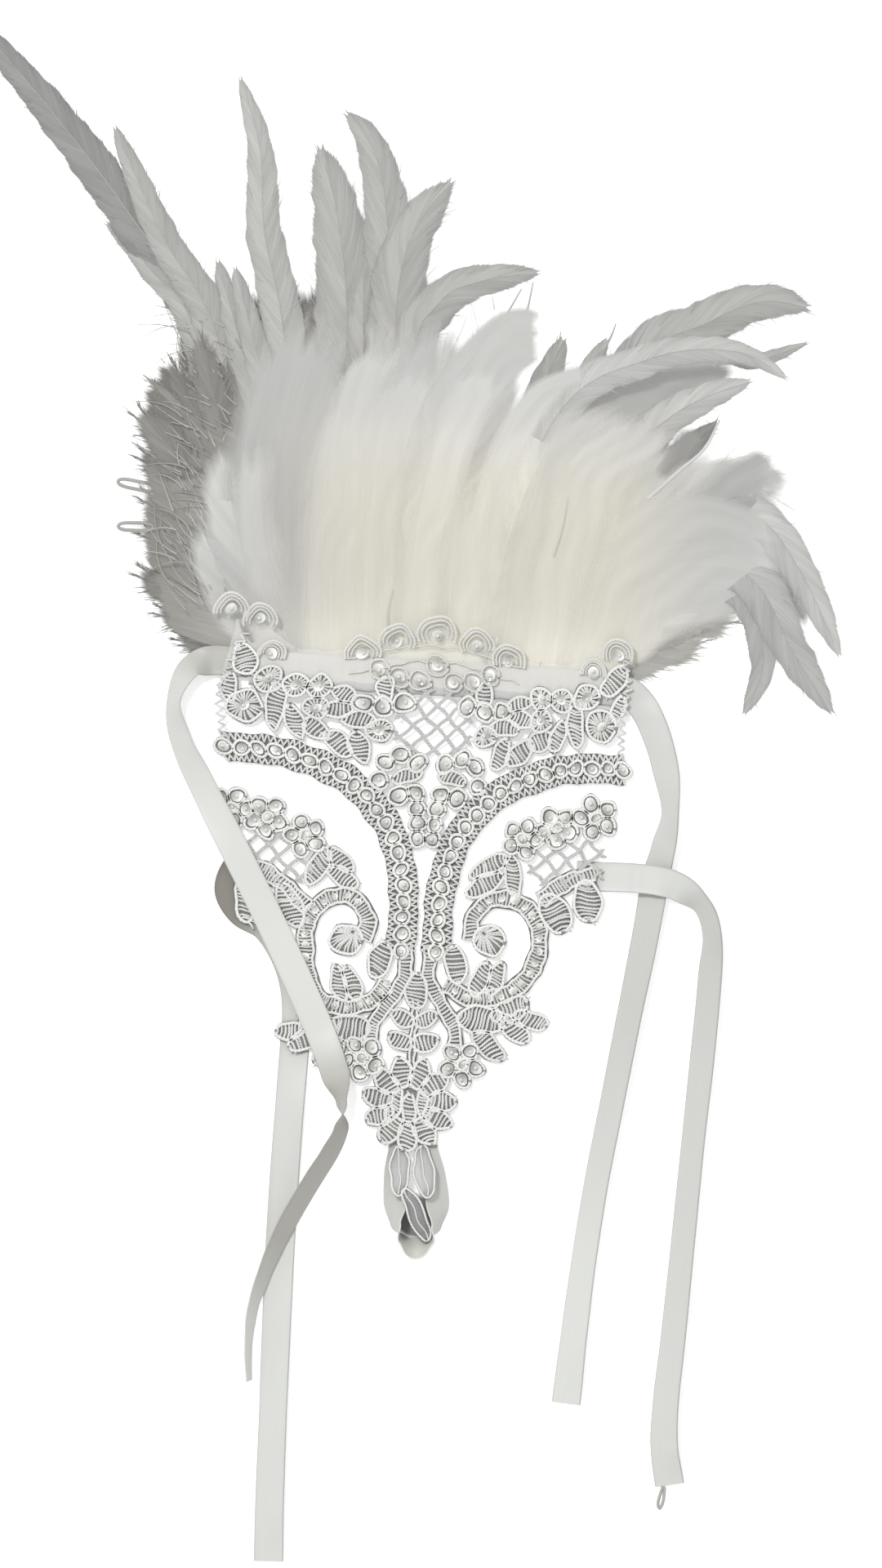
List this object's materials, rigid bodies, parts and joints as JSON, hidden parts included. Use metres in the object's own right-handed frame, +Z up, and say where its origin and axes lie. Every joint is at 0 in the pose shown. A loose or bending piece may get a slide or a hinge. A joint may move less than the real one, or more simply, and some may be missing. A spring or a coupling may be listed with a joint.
{
  "type": "feather wrist cuff",
  "caption": "Lace hand cuff lying flat: a pierced lace panel with rows of feathers along its wrist edge, satin ribbon ties at its sides and a ribbon finger loop at its tip.",
  "frame": {"origin": "middle of the wrist edge, where the feathers are sewn to the lace, on the table the cuff lies on", "axes": "+Z up from the table, +Y from the finger loop to the feathers along the lace's middle line, +X to the right of that line"},
  "size_m": [0.3101, 0.5197, 0.0407],
  "materials": {
    "lace": "white corded lace with clear sequins and seed beads",
    "tape": "pale grey satin tape",
    "plume": "soft cool white feather",
    "feather": "soft cream white feather",
    "satin": "off-white satin ribbon"
  },
  "bodies": {
    "root": {"lace_panel": "lace", "binding_tape": "tape", "feather_row_back": "plume", "feather_row_front": "feather", "wrist_ribbon_left_upper": "satin", "wrist_ribbon_left_lower": "satin", "wrist_ribbon_right_upper": "satin", "wrist_ribbon_right_lower": "satin", "finger_loop": "satin"}
  },
  "joints": []
}
